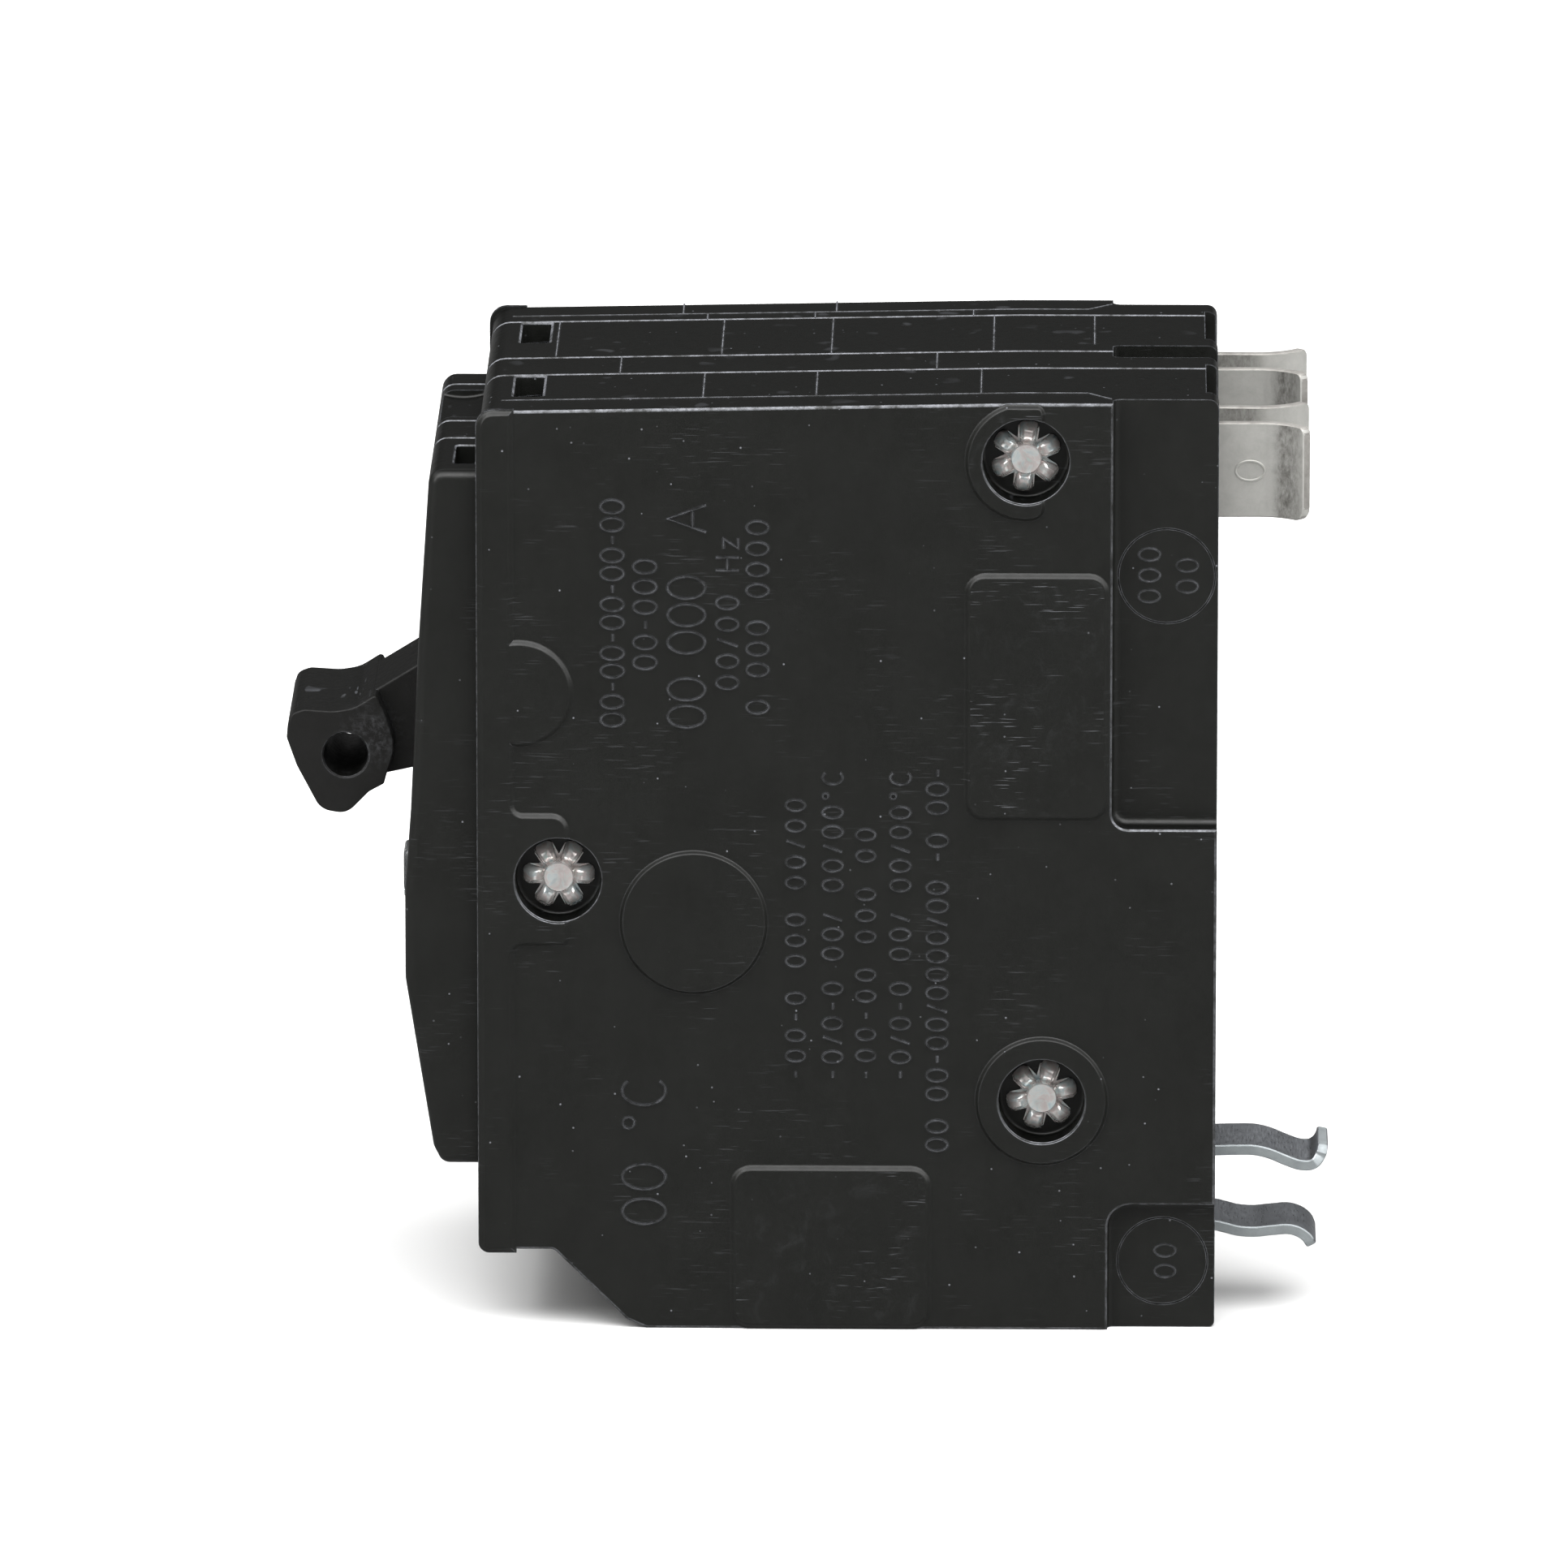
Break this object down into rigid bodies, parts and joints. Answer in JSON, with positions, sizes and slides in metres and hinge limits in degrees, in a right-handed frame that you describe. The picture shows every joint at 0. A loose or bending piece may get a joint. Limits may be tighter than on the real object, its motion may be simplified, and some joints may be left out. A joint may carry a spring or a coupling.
{
  "type": "circuit breaker",
  "caption": "Two-pole plug-on circuit breaker: moulded black case, common toggle handle, sprung line jaws and a rail clip, with the trip mechanism inside.",
  "frame": {"origin": "middle of the bounding box, on the load-end face that it stands on", "axes": "+X from the handle to the jaws, +Y from the near pole to the far pole, +Z from the load end to the line end"},
  "size_m": [0.0836, 0.0382, 0.0762],
  "materials": {
    "case_black": "satin moulded phenolic with pale worn edges",
    "handle_black": "matt moulded plastic",
    "tinned_copper": "matt tin plate with dark smudges",
    "zinc_steel": "blue-grey zinc plate",
    "rivet_steel": "bright zinc plate, faintly iridescent",
    "copper": "bare copper",
    "silver_contact": "satin silver alloy",
    "dark_steel": "dull black-oxide steel",
    "spring_steel": "drawn steel",
    "bimetal": "rolled bimetal strip",
    "lug_metal": "tin-plated extrusion",
    "clear_lens": "clear moulded window",
    "flag_red": "semi-gloss red",
    "trip_bar_fibre": "glass-filled moulding"
  },
  "bodies": {
    "case": {"pole_a_base": "case_black", "pole_a_cover": "case_black", "pole_b_base": "case_black", "pole_b_cover": "case_black", "rivet_top": "rivet_steel", "rivet_front": "rivet_steel", "rivet_bottom": "rivet_steel", "trip_lens": "clear_lens", "handle_pin": "spring_steel", "flag_pin": "spring_steel", "rail_clip": "zinc_steel", "line_jaw_a": "tinned_copper", "line_strap_a": "copper", "fixed_contact_a": "silver_contact", "trip_lever_pin_a": "spring_steel", "toggle_spring_a": "spring_steel", "bimetal_a": "bimetal", "magnet_yoke_a": "dark_steel", "load_strap_a": "copper", "calibration_screw_a": "spring_steel", "flexible_braid_a": "copper", "terminal_lug_a": "lug_metal", "arc_plate_1_a": "dark_steel", "arc_plate_2_a": "dark_steel", "arc_plate_3_a": "dark_steel", "line_jaw_b": "tinned_copper", "line_strap_b": "copper", "fixed_contact_b": "silver_contact", "trip_lever_pin_b": "spring_steel", "toggle_spring_b": "spring_steel", "bimetal_b": "bimetal", "magnet_yoke_b": "dark_steel", "load_strap_b": "copper", "calibration_screw_b": "spring_steel", "flexible_braid_b": "copper", "terminal_lug_b": "lug_metal", "arc_plate_1_b": "dark_steel", "arc_plate_2_b": "dark_steel", "arc_plate_3_b": "dark_steel"},
    "handle": {"handle": "handle_black"},
    "trip_bar": {"trip_bar": "trip_bar_fibre"},
    "trip_flag": {"trip_flag": "flag_red"},
    "contact_arm_a": {"contact_arm_a": "copper", "moving_contact_a": "silver_contact"},
    "trip_lever_a": {"trip_lever_a": "dark_steel"},
    "armature_a": {"armature_a": "dark_steel"},
    "pressure_plate_a": {"pressure_plate_a": "zinc_steel"},
    "terminal_screw_a": {"terminal_screw_a": "zinc_steel"},
    "contact_arm_b": {"contact_arm_b": "copper", "moving_contact_b": "silver_contact"},
    "trip_lever_b": {"trip_lever_b": "dark_steel"},
    "armature_b": {"armature_b": "dark_steel"},
    "pressure_plate_b": {"pressure_plate_b": "zinc_steel"},
    "terminal_screw_b": {"terminal_screw_b": "zinc_steel"}
  },
  "joints": [
    {"name": "handle_turn", "type": "hinge", "parent": "case", "child": "handle", "pos_m": [-0.02287, 0, 0.0499], "axis": [0, 1, 0], "range_deg": [0, 42]},
    {"name": "trip_bar_turn", "type": "hinge", "parent": "case", "child": "trip_bar", "pos_m": [-0.00847, 0, 0.024], "axis": [0, 1, 0], "range_deg": [0, 15]},
    {"name": "trip_flag_turn", "type": "hinge", "parent": "case", "child": "trip_flag", "pos_m": [-0.01497, -0.00953, 0.0283], "axis": [0, 1, 0], "range_deg": [0, 16.5]},
    {"name": "contact_arm_a_turn", "type": "hinge", "parent": "case", "child": "contact_arm_a", "pos_m": [-0.00029, -0.00953, 0.0499], "axis": [0, 1, 0], "range_deg": [-24, 0], "deforming": ["flexible_braid_a"]},
    {"name": "trip_lever_a_turn", "type": "hinge", "parent": "case", "child": "trip_lever_a", "pos_m": [0.01503, -0.00953, 0.038], "axis": [0, 1, 0], "range_deg": [0, 12.5], "deforming": ["toggle_spring_a"]},
    {"name": "armature_a_turn", "type": "hinge", "parent": "case", "child": "armature_a", "pos_m": [-0.00247, -0.00953, 0.018], "axis": [0, 1, 0], "range_deg": [0, 8.5]},
    {"name": "pressure_plate_a_slide", "type": "slide", "parent": "case", "child": "pressure_plate_a", "axis": [1, 0, 0], "range_m": [0, 0.0028]},
    {"name": "terminal_screw_a_turn", "type": "hinge", "parent": "pressure_plate_a", "child": "terminal_screw_a", "pos_m": [-0.01997, -0.00953, 0.0101], "axis": [1, 0, 0], "range_deg": [0, 1500]},
    {"name": "contact_arm_b_turn", "type": "hinge", "parent": "case", "child": "contact_arm_b", "pos_m": [-0.00029, 0.00953, 0.0499], "axis": [0, 1, 0], "range_deg": [-24, 0], "deforming": ["flexible_braid_b"]},
    {"name": "trip_lever_b_turn", "type": "hinge", "parent": "case", "child": "trip_lever_b", "pos_m": [0.01503, 0.00953, 0.038], "axis": [0, 1, 0], "range_deg": [0, 12.5], "deforming": ["toggle_spring_b"]},
    {"name": "armature_b_turn", "type": "hinge", "parent": "case", "child": "armature_b", "pos_m": [-0.00247, 0.00953, 0.018], "axis": [0, 1, 0], "range_deg": [0, 8.5]},
    {"name": "pressure_plate_b_slide", "type": "slide", "parent": "case", "child": "pressure_plate_b", "axis": [1, 0, 0], "range_m": [0, 0.0028]},
    {"name": "terminal_screw_b_turn", "type": "hinge", "parent": "pressure_plate_b", "child": "terminal_screw_b", "pos_m": [-0.01997, 0.00953, 0.0101], "axis": [1, 0, 0], "range_deg": [0, 1500]}
  ],
  "couplings": [
    {"joint": "trip_flag_turn", "follows": "trip_bar_turn", "ratio": 1.0667},
    {"joint": "contact_arm_a_turn", "follows": "handle_turn", "ratio": -0.55952},
    {"joint": "trip_lever_a_turn", "follows": "trip_bar_turn", "ratio": 0.8},
    {"joint": "armature_a_turn", "follows": "trip_bar_turn", "ratio": 0.53333},
    {"joint": "terminal_screw_a_turn", "follows": "pressure_plate_a_slide", "rad_per_m": 8976},
    {"joint": "contact_arm_b_turn", "follows": "handle_turn", "ratio": -0.55952},
    {"joint": "trip_lever_b_turn", "follows": "trip_bar_turn", "ratio": 0.8},
    {"joint": "armature_b_turn", "follows": "trip_bar_turn", "ratio": 0.53333},
    {"joint": "terminal_screw_b_turn", "follows": "pressure_plate_b_slide", "rad_per_m": 8976}
  ]
}
